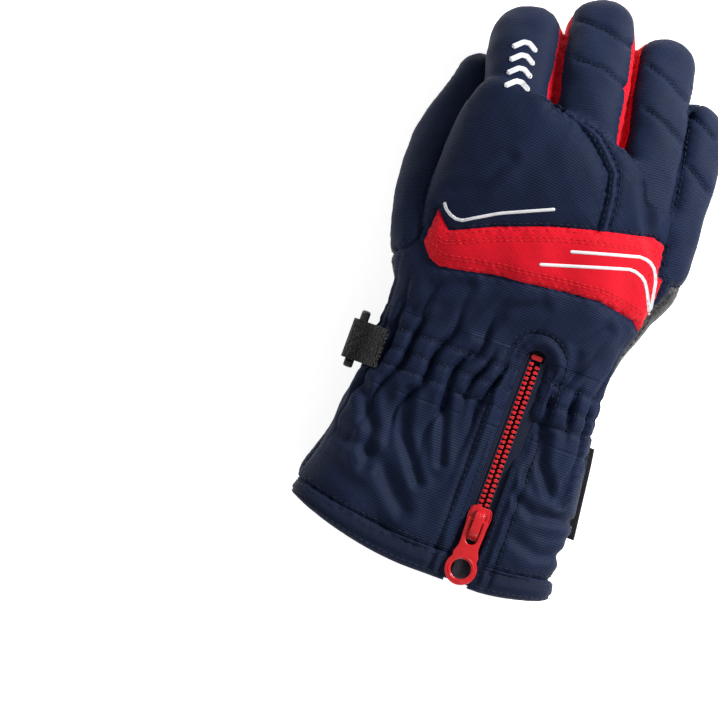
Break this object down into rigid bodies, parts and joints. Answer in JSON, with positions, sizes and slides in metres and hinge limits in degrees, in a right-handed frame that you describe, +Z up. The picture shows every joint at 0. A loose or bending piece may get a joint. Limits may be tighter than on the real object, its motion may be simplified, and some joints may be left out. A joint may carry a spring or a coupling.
{
  "type": "ski glove",
  "caption": "Right-hand junior ski glove with separate fingers, padded back, leather palm, zipped gauntlet cuff and a pair clip at the wrist.",
  "frame": {"origin": "under the middle of the glove's bounding box, on the surface that it rests on", "axes": "+Y from the cuff to the fingertips, +Z up through the back of the hand, thumb on the -X side"},
  "size_m": [0.1182, 0.2292, 0.0541],
  "materials": {
    "navy_fabric": "navy twill nylon, slight sheen",
    "red_fabric": "bright red nylon",
    "palm_leather": "black embossed synthetic leather",
    "binding": "navy folded binding, topstitched",
    "wadding": "white polyester wadding",
    "membrane": "thin waterproof film",
    "lining": "dark brushed tricot",
    "elastic": "woven elastic tape",
    "print": "white print",
    "label": "black woven satin label",
    "zip_tape": "navy woven tape",
    "zip_plastic": "red moulded plastic",
    "webbing": "black coated webbing",
    "hook_plastic": "dark grey moulded plastic"
  },
  "bodies": {
    "glove": {"cuff_palm_panel": "navy_fabric", "cuff_thumb_side_panel": "navy_fabric", "cuff_little_side_panel": "navy_fabric", "wrist_gaiter": "navy_fabric", "palm_panel": "palm_leather", "little_finger_pad": "palm_leather", "accent_band": "red_fabric", "wrist_back_panel": "navy_fabric", "welt_seam": "navy_fabric", "back_inner_panel": "navy_fabric", "back_outer_panel": "navy_fabric", "fourchette_index_middle": "red_fabric", "fourchette_middle_ring": "red_fabric", "fourchette_ring_little": "navy_fabric", "thumb_back_panel": "navy_fabric", "thumb_palm_panel": "palm_leather", "thumb_tip_patch": "palm_leather", "insulation_hand": "wadding", "insulation_fingers": "wadding", "insulation_thumb": "wadding", "wrist_elastic": "elastic", "membrane": "membrane", "cuff_lining": "lining", "hand_lining": "lining", "zip_gusset": "zip_tape", "hem_binding": "binding", "printed_lines": "print", "finger_motif": "print", "side_label": "label", "zip_tape_thumb_side": "zip_tape", "zip_tape_little_side": "zip_tape", "zip_teeth_thumb_side": "zip_plastic", "zip_teeth_little_side": "zip_plastic", "zip_top_stop": "zip_plastic", "clip_loop": "webbing"},
    "zip_slider": {"zip_slider": "zip_plastic", "slider_bail": "zip_plastic"},
    "zip_pull": {"zip_pull": "zip_plastic"},
    "pair_hook": {"pair_hook": "hook_plastic"}
  },
  "joints": [
    {"name": "zip_slide", "type": "slide", "parent": "glove", "child": "zip_slider", "axis": [0, 1, 0], "range_m": [-0.0125, 0.055]},
    {"name": "pull_flip", "type": "hinge", "parent": "zip_slider", "child": "zip_pull", "pos_m": [0.01656, -0.08861, 0.0415], "axis": [-1, 0, 0], "range_deg": [0, 160]},
    {"name": "hook_slide", "type": "slide", "parent": "glove", "child": "pair_hook", "axis": [0, 1, 0], "range_m": [-0.003, 0.004]}
  ]
}
